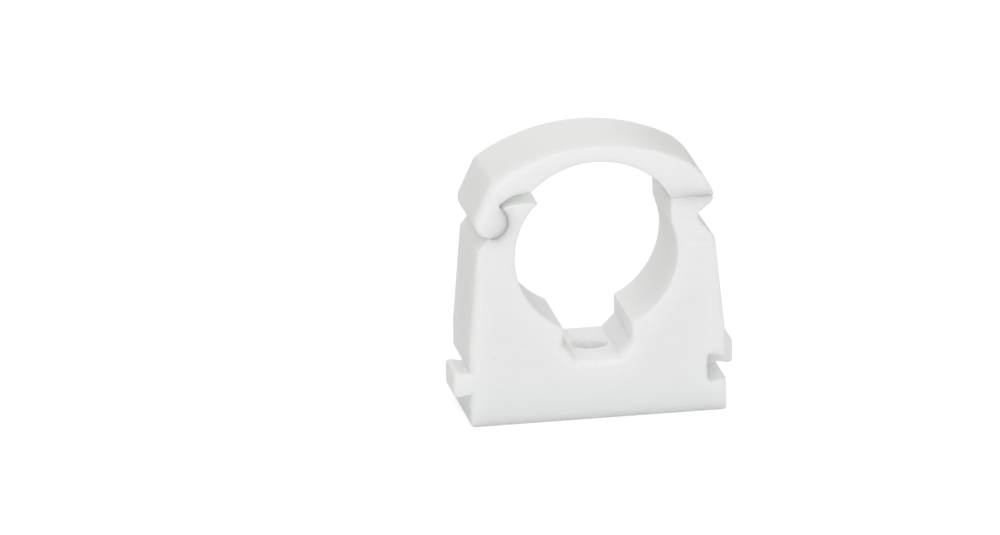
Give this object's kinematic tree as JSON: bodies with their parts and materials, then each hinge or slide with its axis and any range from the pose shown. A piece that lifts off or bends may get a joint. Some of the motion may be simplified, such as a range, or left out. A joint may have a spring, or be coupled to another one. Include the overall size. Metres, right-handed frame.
{
  "type": "hinged pipe clip",
  "caption": "Plastic wall clip for a 22 mm pipe: a screw-down base with a round cradle, a hinged snap-shut strap and dovetail lugs and sockets that link clips in a row.",
  "frame": {"origin": "middle of the underside, where the clip meets the wall", "axes": "+Z away from the wall, Y along the pipe with the front face at -Y, +X from the hinge to the latch"},
  "size_m": [0.0392, 0.0138, 0.0381],
  "materials": {
    "white_polypropylene": "satin moulded white polypropylene, slightly translucent"
  },
  "bodies": {
    "base": {"base": "white_polypropylene"},
    "strap": {"strap": "white_polypropylene"}
  },
  "joints": [
    {"name": "strap_hinge", "type": "hinge", "parent": "base", "child": "strap", "pos_m": [-0.0142, 0, 0.02835], "axis": [0, -1, 0], "range_deg": [0, 110]}
  ]
}
